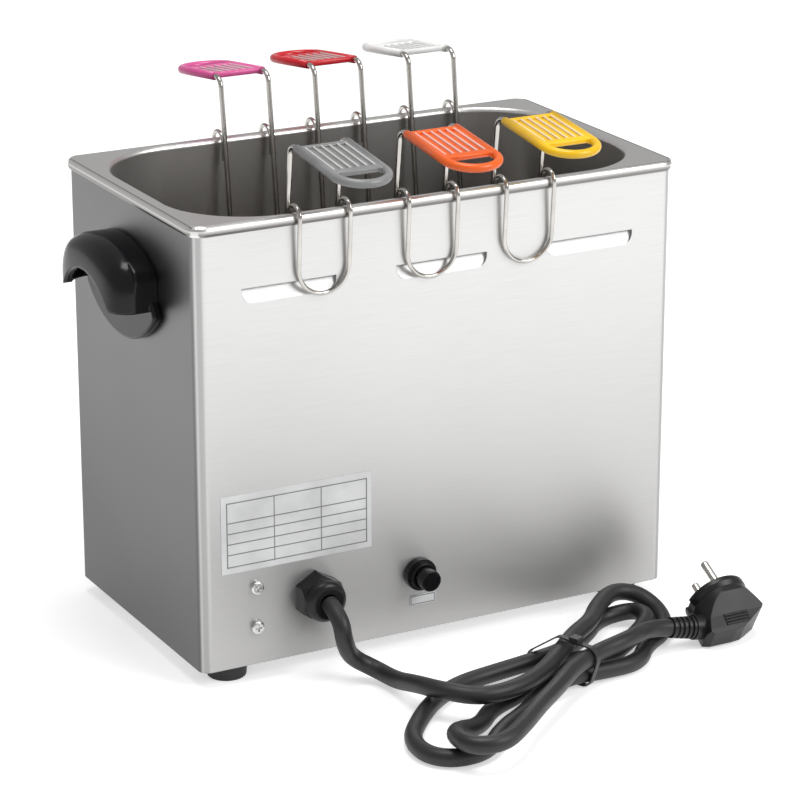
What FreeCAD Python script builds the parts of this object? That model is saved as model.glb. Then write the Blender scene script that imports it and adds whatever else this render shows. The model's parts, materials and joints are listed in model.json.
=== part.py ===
import FreeCAD, Part
import math
import os

os.makedirs("parts", exist_ok=True)

# Table-top egg boiler, all sizes in mm.
# +X runs along the long side, +Y points to the rear face with the cord, +Z is up.
# The origin is the middle of the footprint on the table.

V = FreeCAD.Vector

# Casing
CASE_X = 150.0          # half length of the casing
CASE_Y = 85.0           # half depth of the casing
CASE_BOTTOM = 10.0      # the feet lift it off the table
CASE_R = 6.0            # bend radius of the upright corners
SHEET = 1.0             # casing sheet
FLANGE = 20.0           # bottom flange turned inwards
DECK_Z = 266.0          # top of the tank's deck
TANK_SHEET = 0.8

# Rim of the tank
RIM_R = 7.0             # corner radius
RIM_SECTION = ((1.5, 5.6), (2.1, 4.2), (2.1, 2.2), (1.6, 0.8), (0.8, 0.1), (0.2, 0.4), (-0.5, 0.0))
RIM_INSIDE = ((0.7, 5.7), (1.3, 4.2), (1.3, 2.2), (0.9, 1.4), (0.2, 0.8))
# Both lists give how far out from the casing and how far below the deck, from the lip inwards

# Tank
MOUTH_X = 143.5         # half size of the opening in the deck
MOUTH_Y = 81.5
MOUTH_R = 50.0
LIP_R = 2.6
TANK_FLOOR = 116.0
TANK_DRAFT = math.tan(math.radians(1.5))
TANK_BOTTOM_R = 20.0

# Air slots in the rear face
SLOT_X = (94.0, 0.0, -95.0)
SLOT_LEN = 57.0
SLOT_TOP = 228.0
SLOT_HIGH = 8.0
SLOT_DEEP = 3.0

# Rear face fittings
FITTING_Z = 45.0
GLAND_X = 80.0
GLAND_MOUTH_Y = 102.0
GLAND_FLATS = 24.6
RESET_X = 14.5
SCREW_X = 116.5
SCREW_Z = (55.8, 32.1)
LABEL = (44.5, 137.5, 66.5, 112.0)

# Carrying handles
HANDLE_Y = -5.0         # their middle, a little to the front
HOOD_HALF = 42.0
HOOD_BOTTOM = 205.0
HOOD_RISE = 2.6         # the underside climbs this much towards the lip
CROWN_Z = 241.5
CROWN_R = 74.5
SHOULDER_R = 9.0
HOOD_SECTION = ((0.0, 0.0), (13.5, 0.6), (18.0, 1.2), (21.0, 2.5), (23.5, 5.5), (25.0, 9.5),
                (26.3, 18.0), (27.0, 30.0))
HOLLOW_SECTION = ((5.0, 4.0), (16.5, 4.5), (19.0, 6.0), (21.0, 9.5), (22.3, 18.0), (23.0, 30.0))
# Both lists give the depth from the wall and how far the outline has drawn in there
ARCH_CREST = 223.5
ARCH_HALF = 32.0        # half chord of the finger arch at its foot
CRESCENT_HALF = 46.0
CRESCENT_Z = 182.3
CRESCENT_THICK = 5.0
HANDLE_SCREW_Y = (HANDLE_Y - 20.0, HANDLE_Y + 20.0)
HANDLE_SCREW_Z = 212.0

# Front face fittings
KNOB_X = 70.0
KNOB_Z = 62.0
KNOB_R = 21.0
SWITCH_X = -70.0
SWITCH_Z = 62.0
LAMP_X = (-8.0, -32.0)

# Feet
FOOT_X = 128.0
FOOT_Y = 69.0
FOOT_R = 12.0

# Baskets
LEAN = math.radians(7.0)
WIRE = 3.0
LEG_HALF = 15.25        # half the distance between a basket's two uprights
LEG_Y = 74.5            # uprights where they pass the deck
LEG_TOP = 37.3          # height of the grip plate's plane above the deck, along the lean
NEAR_X = {"grey": 74.2, "orange": 7.7, "yellow": -53.5}
FAR_X = {"pink": 40.5, "red": -20.3, "white": -83.0}

# Cord and plug
CORD_D = 10.0
PLUG_CENTRE = V(-149.2, 142.6, 18.3)
PLUG_TILT = math.radians(28.0)
BOOT_ROOT = (26.3, 18.0, 1.6)
CORD_ROUTE = [
    (80, 102, 45), (80, 115.5, 41.5), (79.5, 119, 28), (72.5, 113, 15.5),
    (59, 116.5, 7), (55, 134.5, 6), (56, 156, 13), (54.5, 178.5, 18),
    (37, 195.5, 16), (11.5, 194, 16), (-11, 182.5, 16.5), (-31, 167, 18.5),
    (-49.5, 150, 18.2), (-70, 135, 16.5), (-86, 116, 16), (-103.5, 104, 17.5),
    (-118, 107, 15), (-125, 121, 8.5), (-116.5, 143.5, 5), (-94, 156, 5),
    (-78, 175, 5), (-53, 177, 6), (-27.5, 178.5, 8), (-4.5, 189, 6),
    (14.5, 205.5, 6), (36.5, 219, 7), (55, 236.5, 5.5), (75, 236.5, 5),
    (86, 224.5, 5), (84, 203.5, 5), (68, 184, 5), (50, 166.5, 5),
    (27.5, 154, 5.5), (2.5, 150, 5.5), (-23.5, 150, 7.5), (-48, 143, 6.5),
    (-70, 129, 5), (-88.5, 111.5, 5), (-107, 113, 7.5), (-113, 122, 9.5),
    (-108, 136.5, 10), (-88, 147, 5), (-67, 161, 5), (-42, 158, 7.5),
    (-18, 167, 6.5), (3, 180.5, 5), (26.5, 189.5, 5), (44, 207.5, 5),
    (65.5, 218, 12), (74.5, 238, 17), (69, 250, 16.5), (54, 253.5, 17.5),
    (34.5, 239.5, 18.5), (15, 221.5, 17.5), (-6, 205.5, 17.5), (-26, 189, 18.5),
    (-48.5, 176.5, 17.5), (-74, 172, 19.5), (-94.5, 157.6, 15.9), (-108.7, 158.4, 13.6),
]

# Cable tie round the middle of the hank
TIE_PLACE = V(-34.0, 165.0, 0)
TIE_TURN = math.radians(22.0)   # the strands' direction there
TIE_CORNERS = ((-17.8, 7.2), (13.8, 7.1), (17.3, 17.9), (-1.4, 18.9))
TIE_INSIDE = 6.0                # from the middle of a strand
TIE_THICK = 0.9
TIE_WIDE = 3.4


def save(name, shape):
    """Write one node."""
    shape.exportStep("parts/" + name + ".step")


def group(shapes):
    """Several separate solids kept as one node."""
    return Part.makeCompound(shapes)


def fused(shapes):
    """One solid out of several that overlap."""
    return shapes[0].fuse(shapes[1:]).removeSplitter()


def block(x0, x1, y0, y1, z0, z1):
    """Rectangular block between two corners."""
    return Part.makeBox(x1 - x0, y1 - y0, z1 - z0, V(x0, y0, z0))


def rounded_wire(hx, hy, r, z):
    """Rounded rectangle about the Z axis at height z."""
    k = r * (1 - math.sqrt(0.5))
    edges = []
    quarters = ((1, 1), (-1, 1), (-1, -1), (1, -1))
    points = []
    for sx, sy in quarters:
        a = V(sx * hx, sy * (hy - r), z)
        b = V(sx * (hx - k), sy * (hy - k), z)
        c = V(sx * (hx - r), sy * hy, z)
        points.append((a, b, c) if sx * sy > 0 else (c, b, a))
    for i, (a, b, c) in enumerate(points):
        edges.append(Part.Arc(a, b, c).toShape())
        following = points[(i + 1) % 4][0]
        edges.append(Part.LineSegment(c, following).toShape())
    return Part.Wire(edges)


def rounded_block(hx, hy, r, z0, z1):
    """Upright prism with a rounded rectangle as its section."""
    return Part.Face(rounded_wire(hx, hy, r, z0)).extrude(V(0, 0, z1 - z0))


def lofted(wires):
    """Closed solid through a stack of matching wires."""
    return Part.makeLoft(wires, True, True)


def prism(points, direction):
    """Extruded polygon."""
    face = Part.Face(Part.makePolygon(points + [points[0]]))
    return face.extrude(direction)


def rod(start, end, radius):
    """Straight round bar between two points."""
    way = end - start
    return Part.makeCylinder(radius, way.Length, start, way)


def along_y(radius, x, z, y0, y1):
    """Round bar along Y."""
    return Part.makeCylinder(radius, y1 - y0, V(x, y0, z), V(0, 1, 0))


def hexagon_y(flats, x, z, y0, y1):
    """Hexagonal bar along Y with two corners up and down."""
    corner = flats / math.sqrt(3)
    points = []
    for i in range(6):
        a = math.radians(60 * i + 30)
        points.append(V(x + corner * math.cos(a), y0, z + corner * math.sin(a)))
    return prism(points, V(0, y1 - y0, 0))


def bent_path(points, radii):
    """Straight runs joined by tangent arcs: one wire and the list of its arc radii."""
    edges = []
    used = []
    last = points[0]
    for i in range(1, len(points) - 1):
        before = points[i] - points[i - 1]
        after = points[i + 1] - points[i]
        a = V(before).normalize()
        b = V(after).normalize()
        turn = a.getAngle(b)
        if callable(radii):
            radius = radii(before.Length, after.Length, turn)
        else:
            radius = radii
        cut = radius * math.tan(turn / 2)
        start = points[i] - a * cut
        end = points[i] + b * cut
        inward = (b - a).normalize()
        middle = points[i] + inward * (radius / math.cos(turn / 2) - radius)
        if (start - last).Length > 1e-4:
            edges.append(Part.LineSegment(last, start).toShape())
        edges.append(Part.Arc(start, middle, end).toShape())
        used.append(radius)
        last = end
    if (points[-1] - last).Length > 1e-4:
        edges.append(Part.LineSegment(last, points[-1]).toShape())
    return Part.Wire(edges), used


def tube(points, radius, radii):
    """Round bar of constant section along a bent path."""
    path, used = bent_path(points, radii)
    way = points[1] - points[0]
    ring = Part.Wire([Part.Circle(points[0], way, radius).toShape()])
    body = path.makePipeShell([ring], True, False)
    return body, path.Length, used


def pan_screw(seat, way, head_r, head_h, shank_r, shank_len):
    """Pan-head screw with a cross recess, its head standing on the seat against the way in."""
    head = Part.makeCylinder(head_r, head_h, seat, way * -1)
    outer = [e for e in head.Edges if (e.CenterOfMass - seat).dot(way) < -0.9 * head_h]
    head = head.makeFillet(head_h * 0.45, outer)
    shank = Part.makeCylinder(shank_r, shank_len, seat - way * 0.2, way)
    screw = head.fuse(shank)
    side = V(0, 0, 1).cross(way)
    if side.Length < 0.5:
        side = V(1, 0, 0)
    other = way.cross(side)
    top = seat - way * head_h
    for a, b in ((side, other), (other, side)):
        slot = prism([top + a * head_r * 0.55 + b * 0.5 - way * 0.1,
                      top - a * head_r * 0.55 + b * 0.5 - way * 0.1,
                      top - a * head_r * 0.55 - b * 0.5 - way * 0.1,
                      top + a * head_r * 0.55 - b * 0.5 - way * 0.1], way * (head_h * 0.6))
        screw = screw.cut(slot)
    return screw


# Casing: a wrap of sheet with a bottom flange
case_outer = rounded_block(CASE_X, CASE_Y, CASE_R, CASE_BOTTOM, DECK_Z - TANK_SHEET)
case_inner = rounded_block(CASE_X - SHEET, CASE_Y - SHEET, CASE_R - SHEET,
                           CASE_BOTTOM + SHEET, DECK_Z)
floor_hole = rounded_block(CASE_X - FLANGE, CASE_Y - FLANGE, 4.0, CASE_BOTTOM - 1, 30)
casing = case_outer.cut([case_inner, floor_hole])


def slot_wedge(x, deep, half, top, bottom):
    """Wedge pressed in from the rear face, deepest along its top, with its lower corners rounded."""
    rear = CASE_Y + 0.5
    points = [V(x - half, rear, top), V(x - half, CASE_Y - deep, top),
              V(x - half, CASE_Y, bottom), V(x - half, rear, bottom)]
    wedge = prism(points, V(2 * half, 0, 0))
    end = min(7.0, top - bottom - 0.2)
    slant = end * math.sqrt(0.5)
    outline = Part.Wire([
        Part.LineSegment(V(x + half, 0, top), V(x - half, 0, top)).toShape(),
        Part.LineSegment(V(x - half, 0, top), V(x - half, 0, bottom + end)).toShape(),
        Part.Arc(V(x - half, 0, bottom + end), V(x - half + end - slant, 0, bottom + end - slant),
                 V(x - half + end, 0, bottom)).toShape(),
        Part.LineSegment(V(x - half + end, 0, bottom), V(x + half - end, 0, bottom)).toShape(),
        Part.Arc(V(x + half - end, 0, bottom), V(x + half - end + slant, 0, bottom + end - slant),
                 V(x + half, 0, bottom + end)).toShape(),
        Part.LineSegment(V(x + half, 0, bottom + end), V(x + half, 0, top)).toShape()])
    return wedge.common(Part.Face(outline).extrude(V(0, rear, 0)))


for x in SLOT_X:
    shell = slot_wedge(x, SLOT_DEEP + 1.0, SLOT_LEN / 2 + 1.0, SLOT_TOP, SLOT_TOP - SLOT_HIGH - 2.4)
    shell = shell.common(block(-CASE_X, CASE_X, 0, CASE_Y, 0, DECK_Z))
    hollow = slot_wedge(x, SLOT_DEEP, SLOT_LEN / 2, SLOT_TOP + 0.5, SLOT_TOP - SLOT_HIGH)
    casing = casing.fuse(shell).cut(hollow)

# Holes for the rear and front fittings, the feet and the handles' screws
casing_holes = [along_y(8.2, GLAND_X, FITTING_Z, 80, 90), along_y(6.2, RESET_X, FITTING_Z, 80, 90)]
for z in SCREW_Z:
    casing_holes.append(along_y(2.05, SCREW_X, z, 80, 90))
casing_holes.append(along_y(5.0, KNOB_X, KNOB_Z, -90, -80))
casing_holes.append(block(SWITCH_X - 13.5, SWITCH_X + 13.5, -90, -80, SWITCH_Z - 9.5, SWITCH_Z + 9.5))
for x in LAMP_X:
    casing_holes.append(along_y(5.1, x, KNOB_Z, -90, -80))
for sx in (-1, 1):
    for sy in (-1, 1):
        casing_holes.append(Part.makeCylinder(2.05, 10, V(sx * FOOT_X, sy * FOOT_Y, 5)))
    for y in HANDLE_SCREW_Y:
        start = V(sx * (CASE_X - 5), y, HANDLE_SCREW_Z)
        casing_holes.append(Part.makeCylinder(2.05, 10, start, V(sx, 0, 0)))
for x in (-60, 60):
    for y in (-75, 75):
        casing_holes.append(Part.makeCylinder(1.8, 10, V(x, y, 5)))
casing = casing.cut(casing_holes)
save("outer_casing", casing)

# Tank: deck, mouth with a rounded lip, drafted walls and a rounded bottom
def tank_body(grow, top, bottom, bottom_r):
    """Drafted tub, larger by grow than the inside of the tank."""
    upper = top - (DECK_Z - 3)
    hx = MOUTH_X - 1.2 + grow
    hy = MOUTH_Y - 1.2 + grow
    fall = (top - bottom) * TANK_DRAFT
    body = lofted([rounded_wire(hx - fall, hy - fall, MOUTH_R - 1.2 + grow - fall, bottom),
                   rounded_wire(hx, hy, MOUTH_R - 1.2 + grow, top)])
    low = [e for e in body.Edges if abs(e.CenterOfMass.z - bottom) < 1e-3]
    return body.makeFillet(bottom_r, low)


def flared(body, grow, level, radius, slab):
    """Join the tub to the slab above it with a rounded edge."""
    whole = body.fuse(slab).removeSplitter()
    hx = MOUTH_X - 0.7 + grow
    hy = MOUTH_Y - 0.7 + grow
    edge = [e for e in whole.Edges if abs(e.BoundBox.ZMax - level) < 1e-3
            and abs(e.BoundBox.ZMin - level) < 1e-3
            and max(e.BoundBox.XMax, -e.BoundBox.XMin) < hx
            and max(e.BoundBox.YMax, -e.BoundBox.YMin) < hy]
    return whole.makeFillet(radius, edge)


deck_slab = rounded_block(CASE_X - 0.5, CASE_Y - 0.5, RIM_R - 0.5, DECK_Z - TANK_SHEET, DECK_Z)
air_slab = rounded_block(CASE_X + 20, CASE_Y + 20, 3.0, DECK_Z, DECK_Z + 6)
tank_out = flared(tank_body(TANK_SHEET, DECK_Z - TANK_SHEET, TANK_FLOOR - TANK_SHEET,
                            TANK_BOTTOM_R + TANK_SHEET), TANK_SHEET, DECK_Z - TANK_SHEET,
                  LIP_R - TANK_SHEET, deck_slab)
tank_in = flared(tank_body(0.0, DECK_Z, TANK_FLOOR, TANK_BOTTOM_R), 0.0, DECK_Z, LIP_R, air_slab)
rim_out = lofted([rounded_wire(CASE_X + out, CASE_Y + out, RIM_R + out, DECK_Z - down)
                  for out, down in RIM_SECTION])
rim_in = lofted([rounded_wire(CASE_X + out, CASE_Y + out, RIM_R + out, DECK_Z - down)
                 for out, down in RIM_INSIDE])
deck_gap = rounded_block(CASE_X - 0.6, CASE_Y - 0.6, RIM_R - 0.6, DECK_Z - 8, DECK_Z + 1)
rim = rim_out.cut([rim_in, deck_gap])
tank = tank_out.cut(tank_in).fuse(rim).removeSplitter()
save("tank", tank)

# Base plate with air slots, its screws, the feet and theirs
base_plate = rounded_block(CASE_X - 3.0, CASE_Y - 3.0, 3.0, CASE_BOTTOM + SHEET, CASE_BOTTOM + 2 * SHEET)
vents = []
for i in range(9):
    x = -88 + 22 * i
    vents.append(block(x - 2, x + 2, -40, 40, 5, 20))
for sx in (-1, 1):
    for sy in (-1, 1):
        vents.append(Part.makeCylinder(2.05, 20, V(sx * FOOT_X, sy * FOOT_Y, 5)))
base_screws = []
for x in (-60, 60):
    for y in (-75, 75):
        vents.append(Part.makeCylinder(1.8, 20, V(x, y, 5)))
        base_screws.append(pan_screw(V(x, y, CASE_BOTTOM), V(0, 0, 1), 3.4, 2.0, 1.75, 8.0))
save("base_plate", base_plate.cut(vents))
save("base_screws", group(base_screws))

foot_screws = []
for i, (sx, sy) in enumerate(((-1, -1), (1, -1), (-1, 1), (1, 1))):
    centre = V(sx * FOOT_X, sy * FOOT_Y, 0)
    foot = Part.makeCone(FOOT_R - 1.0, FOOT_R, CASE_BOTTOM, centre)
    foot = foot.makeFillet(1.2, [e for e in foot.Edges if abs(e.BoundBox.ZMax) < 1e-3])
    well = Part.makeCylinder(5.0, 4.5, centre)
    bore = Part.makeCylinder(2.05, 20, centre)
    save("foot_%d" % (i + 1), foot.cut([well, bore]))
    foot_screws.append(pan_screw(centre + V(0, 0, 4.5), V(0, 0, 1), 4.2, 2.4, 2.0, 12.0))
save("foot_screws", group(foot_screws))


# Carrying handles: a crescent base plate with a hood that the fingers reach up into
def hood_outline(depth, inset, bottom):
    """Arched outline of the hood at one depth, drawn in by inset at the crown and the ends."""
    half = HOOD_HALF - inset
    crown_r = CROWN_R - inset
    shoulder = max(1.5, SHOULDER_R - 0.25 * inset)
    low = CROWN_Z - CROWN_R
    y1 = half - shoulder
    z1 = low + math.sqrt((crown_r - shoulder) ** 2 - y1 ** 2)
    y2 = y1 * crown_r / (crown_r - shoulder)
    z2 = low + (z1 - low) * crown_r / (crown_r - shoulder)
    lean = math.atan2(z1 - low, y1) / 2
    y3 = y1 + shoulder * math.cos(lean)
    z3 = z1 + shoulder * math.sin(lean)
    return Part.Wire([
        Part.LineSegment(V(depth, -half, bottom), V(depth, -half, z1)).toShape(),
        Part.Arc(V(depth, -half, z1), V(depth, -y3, z3), V(depth, -y2, z2)).toShape(),
        Part.Arc(V(depth, -y2, z2), V(depth, 0, low + crown_r), V(depth, y2, z2)).toShape(),
        Part.Arc(V(depth, y2, z2), V(depth, y3, z3), V(depth, half, z1)).toShape(),
        Part.LineSegment(V(depth, half, z1), V(depth, half, bottom)).toShape(),
        Part.LineSegment(V(depth, half, bottom), V(depth, -half, bottom)).toShape()])


def handle():
    """Handle for the wall at X = 0, standing out along +X, centred on Y = 0."""
    deepest = HOOD_SECTION[-1][0]
    hood = lofted([hood_outline(depth, inset, HOOD_BOTTOM + HOOD_RISE * depth / deepest)
                   for depth, inset in HOOD_SECTION])
    hollow = lofted([hood_outline(depth, inset, HOOD_BOTTOM - 5) for depth, inset in HOLLOW_SECTION])
    rise = ARCH_CREST - HOOD_BOTTOM
    arch_r = (ARCH_HALF ** 2 + rise ** 2) / (2 * rise)
    arch = Part.makeCylinder(arch_r, 25, V(12, 0, ARCH_CREST - arch_r), V(1, 0, 0))
    hood = hood.cut([hollow, arch])
    tip = CRESCENT_HALF
    crescent = Part.Face(Part.Wire([
        Part.Arc(V(0, -40, 214), V(0, -44, 208.5), V(0, -tip, 203.5)).toShape(),
        Part.Arc(V(0, -tip, 203.5), V(0, 0, CRESCENT_Z), V(0, tip, 203.5)).toShape(),
        Part.Arc(V(0, tip, 203.5), V(0, 44, 208.5), V(0, 40, 214)).toShape(),
        Part.LineSegment(V(0, 40, 214), V(0, -40, 214)).toShape()])).extrude(V(CRESCENT_THICK, 0, 0))
    whole = fused([hood, crescent])
    for y in HANDLE_SCREW_Y:
        start = V(-0.1, y - HANDLE_Y, HANDLE_SCREW_Z)
        whole = whole.cut(Part.makeCylinder(1.9, 3.4, start, V(1, 0, 0)))
    whole.translate(V(0, HANDLE_Y, 0))
    return whole


handle_left = handle()
handle_left.translate(V(CASE_X, 0, 0))
handle_right = handle_left.mirror(V(0, 0, 0), V(1, 0, 0))
save("handle_left", handle_left)
save("handle_right", handle_right)
handle_screws = []
for sx in (-1, 1):
    for y in HANDLE_SCREW_Y:
        handle_screws.append(pan_screw(V(sx * (CASE_X - SHEET), y, HANDLE_SCREW_Z), V(sx, 0, 0),
                                       3.5, 2.2, 1.85, 4.0))
save("handle_screws", group(handle_screws))

# Cable gland
gland_body = fused([hexagon_y(GLAND_FLATS, GLAND_X, FITTING_Z, CASE_Y, 88.6),
                    along_y(8.0, GLAND_X, FITTING_Z, 74.0, 94.0)])
gland_body = gland_body.cut(along_y(5.6, GLAND_X, FITTING_Z, 70, 110))
save("cable_gland_body", gland_body)
skirt = along_y(12.2, GLAND_X, FITTING_Z, 88.9, GLAND_MOUTH_Y)
skirt = skirt.makeFillet(4.2, [e for e in skirt.Edges if e.BoundBox.YMin > GLAND_MOUTH_Y - 0.1])
nut = fused([hexagon_y(GLAND_FLATS, GLAND_X, FITTING_Z, 88.9, 96.5).common(
    Part.makeCone(16.0, 12.6, 7.6, V(GLAND_X, 88.9, FITTING_Z), V(0, 1, 0))), skirt])
nut = nut.cut([along_y(8.05, GLAND_X, FITTING_Z, 88, 94.2), along_y(7.0, GLAND_X, FITTING_Z, 88, 99.6),
               along_y(5.3, GLAND_X, FITTING_Z, 88, 120)])
save("cable_gland_nut", nut)
seal = along_y(6.9, GLAND_X, FITTING_Z, 94.4, 99.5).cut(along_y(5.05, GLAND_X, FITTING_Z, 90, 120))
save("gland_seal", seal)
locknut = hexagon_y(22.0, GLAND_X, FITTING_Z, 79.5, CASE_Y - SHEET)
save("gland_locknut", locknut.cut(along_y(8.0, GLAND_X, FITTING_Z, 70, 90)))

# Power cord: one unbroken tube out of the gland, through its tied hank, into the plug's boot
route = [V(*p) for p in CORD_ROUTE]


def cord_radius(before, after, turn):
    """Arc as large as the two runs allow."""
    return 0.45 * min(before, after) / math.tan(turn / 2)


cord, cord_length, cord_radii = tube(route, CORD_D / 2, cord_radius)
print("cord arc radii:", ", ".join("%.1f" % r for r in cord_radii))
print("cord length %.1f, volume %.0f, section times length %.0f" % (
    cord_length, cord.Volume, cord_length * math.pi * CORD_D ** 2 / 4))
cord_path = bent_path(route, cord_radius)[0]
samples = []
travelled = 0.0
for edge in cord_path.Edges:
    count = max(2, int(edge.Length / 1.5))
    for i in range(count):
        u = edge.FirstParameter + (edge.LastParameter - edge.FirstParameter) * i / count
        samples.append((travelled + edge.Length * i / count, edge.valueAt(u)))
    travelled += edge.Length
least = 1e9
for i, (s, p) in enumerate(samples):
    for t, q in samples[i + 1:]:
        if t - s > 30:
            least = min(least, (p - q).Length)
print("least gap of the cord to itself %.2f" % (least - CORD_D))
save("power_cord", cord)

# Cable tie: a flat band drawn round the strands, with its lock on top
def tie_loop(distance):
    """Closed line of tangents and arcs round the tie's corner strands."""
    along = V(math.cos(TIE_TURN), math.sin(TIE_TURN), 0)
    across = V(-along.y, along.x, 0)
    centres = [TIE_PLACE + across * u + V(0, 0, z) for u, z in TIE_CORNERS]
    count = len(centres)
    outward = []
    for i in range(count):
        side = centres[(i + 1) % count] - centres[i]
        outward.append(side.cross(along).normalize())
    if (centres[0] + outward[0] - TIE_PLACE).z > centres[0].z:
        outward = [n * -1 for n in outward]
    edges = []
    for i in range(count):
        start = centres[i] + outward[i] * distance
        end = centres[(i + 1) % count] + outward[i] * distance
        following = outward[(i + 1) % count]
        between = V(outward[i] + following).normalize()
        corner = centres[(i + 1) % count]
        edges.append(Part.LineSegment(start, end).toShape())
        edges.append(Part.Arc(end, corner + between * distance, corner + following * distance).toShape())
    return Part.Wire(edges), along


inner_loop, tie_along = tie_loop(TIE_INSIDE)
outer_loop = tie_loop(TIE_INSIDE + TIE_THICK)[0]
band = Part.Face(outer_loop).extrude(tie_along * TIE_WIDE)
band = band.cut(Part.Face(inner_loop).extrude(tie_along * TIE_WIDE))
lock = Part.makeBox(5.6, 6.0, 3.6, V(-1.1, 5.2, 24.3))
lock.rotate(V(0, 0, 0), V(0, 0, 1), math.degrees(TIE_TURN))
lock.translate(TIE_PLACE)
tie = fused([band, lock])
tie.translate(tie_along * (-TIE_WIDE / 2))
print("gap between tie and cord %.2f, tie's lowest point %.2f" % (
    tie.distToShape(cord)[0], tie.optimalBoundingBox(False).ZMin))
save("cable_tie", tie)

# Angled mains plug, lying on the edge of its face disc and on the end of its grip
plug_u = V(1, 0, 0)
plug_v = V(0, math.cos(PLUG_TILT), -math.sin(PLUG_TILT))
plug_w = plug_u.cross(plug_v)
plug_place = FreeCAD.Placement(PLUG_CENTRE, FreeCAD.Rotation(plug_u, plug_v, plug_w, "XYZ"))


def on_plug(shape):
    """Turn a shape drawn in the plug's own axes: X to the cord, Y to the back, Z up."""
    placed = shape.copy()
    placed.Placement = plug_place.multiply(placed.Placement)
    return placed


disc = Part.makeCylinder(19.0, 2.8, V(0, 0, 0), V(0, 1, 0))
disc = disc.fuse(Part.makeCone(19.0, 16.2, 5.4, V(0, 2.8, 0), V(0, 1, 0)))
plan = prism([V(-18, 6, -20), V(-19.5, 17, -20), V(-17, 21, -20), V(-1, 30, -20), V(5, 31, -20),
              V(20, 31, -20), V(23.5, 27, -20), V(23.5, 11, -20), V(18, 6, -20)], V(0, 0, 40))
cheek = prism([V(-30, 6, 18.5), V(-30, 10, 18), V(-30, 21, 11.5), V(-30, 28, 9.5), V(-30, 31, 8.5),
               V(-30, 31, -2.7), V(-30, 27, -6), V(-30, 6, -16.6)], V(60, 0, 0))
plug_back = plan.common(cheek)
barrel = Part.makeCone(18.6, 24.0, 26, V(0, 6, 0), V(0, 1, 0))
plug_back = plug_back.common(barrel)
plug_body = disc.fuse(plug_back).removeSplitter()
for i in range(4):
    ridge = Part.makeCylinder(0.7, 16, V(-6, 21.8 + 1.7 * i, 11.4 - 0.5 * i), V(1, 0, 0))
    plug_body = plug_body.fuse(ridge)
cuts = [block(16.6, 22, -1, 5.5, -3.2, 3.2), block(-22, -16.6, -1, 5.5, -3.2, 3.2)]
for z in (-9.5, 9.5):
    cuts.append(Part.makeCylinder(2.4, 12, V(0, -1, z), V(0, 1, 0)))
plug_body = on_plug(plug_body.cut(cuts).removeSplitter())
boot_root = plug_place.multVec(V(*BOOT_ROOT))
boot_way = route[-1] - boot_root
boot_dir = V(boot_way).normalize()
plug_body = plug_body.fuse(rod(boot_root - boot_dir * 11, boot_root - boot_dir * 0.3, 7.2)).removeSplitter()
print("plug's lowest point %.2f, solids %d" % (plug_body.optimalBoundingBox(False).ZMin, len(plug_body.Solids)))
save("plug_body", plug_body)
pins = []
for z in (-9.5, 9.5):
    pin = Part.makeCylinder(2.4, 30, V(0, -19, z), V(0, 1, 0))
    pin = pin.makeFillet(1.4, [e for e in pin.Edges if e.BoundBox.YMax < -18.9])
    pins.append(pin.common(block(-5, 5, -20, 11, z - 5, z + 5)))
save("plug_pins", group([on_plug(p) for p in pins]))
clips = []
for s in (-1, 1):
    x0, x1 = (16.7, 17.5) if s > 0 else (-17.5, -16.7)
    clips.append(block(x0, x1, 0.4, 5.4, -2.6, 2.6))
save("plug_earth_clips", group([on_plug(c) for c in clips]))

boot = Part.makeCone(6.6, 6.0, boot_way.Length - 0.05, boot_root, boot_dir)
grooves = []
for i in range(4):
    at = boot_root + boot_dir * (1.6 + 3.1 * i)
    core = Part.makeCylinder(5.2, 1.3, at, boot_dir)
    grooves.append(Part.makeCylinder(9, 1.3, at, boot_dir).cut(core))
save("plug_boot", boot.cut(grooves))

# Reset button in its collar
reset_collar = fused([along_y(9.4, RESET_X, FITTING_Z, CASE_Y, 89.5),
                      along_y(7.8, RESET_X, FITTING_Z, 89.4, 93.0),
                      along_y(6.0, RESET_X, FITTING_Z, 76.0, 86.0)])
reset_collar = reset_collar.cut([along_y(6.6, RESET_X, FITTING_Z, 88.5, 99),
                                 along_y(3.2, RESET_X, FITTING_Z, 70, 99)])
save("reset_collar", reset_collar)
cap = along_y(6.25, RESET_X, FITTING_Z, 91.4, 100.8)
cap = cap.makeFillet(0.8, [e for e in cap.Edges if e.BoundBox.YMin > 100.7])
save("reset_button", fused([cap, along_y(2.9, RESET_X, FITTING_Z, 74.5, 92.0)]))

# Safety thermostat behind it, with its capillary up to a bulb under the tank
safety = fused([along_y(15.0, RESET_X, FITTING_Z, 56.0, 70.0),
                block(RESET_X - 12, RESET_X + 12, 44, 57, 33, 57),
                along_y(7.5, RESET_X, FITTING_Z, 69.9, 76.0)])
safety = safety.cut(along_y(3.3, RESET_X, FITTING_Z, 71.0, 77))
save("safety_thermostat", safety)


def capillary(points, bulb_len):
    """Thin tube from a thermostat up to a bulb held under the tank."""
    thin = tube(points, 0.9, 5.0)[0]
    end = points[-1]
    bulb = rod(end - V(0.5, 0, 0), end + V(bulb_len, 0, 0), 3.0)
    return fused([thin, bulb])


BULB_Z = 107.5
save("safety_capillary", capillary([V(2.8, 50, 50), V(-22, 50, 62), V(-22, 18, BULB_Z),
                                    V(10, 18, BULB_Z)], 55))

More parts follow.
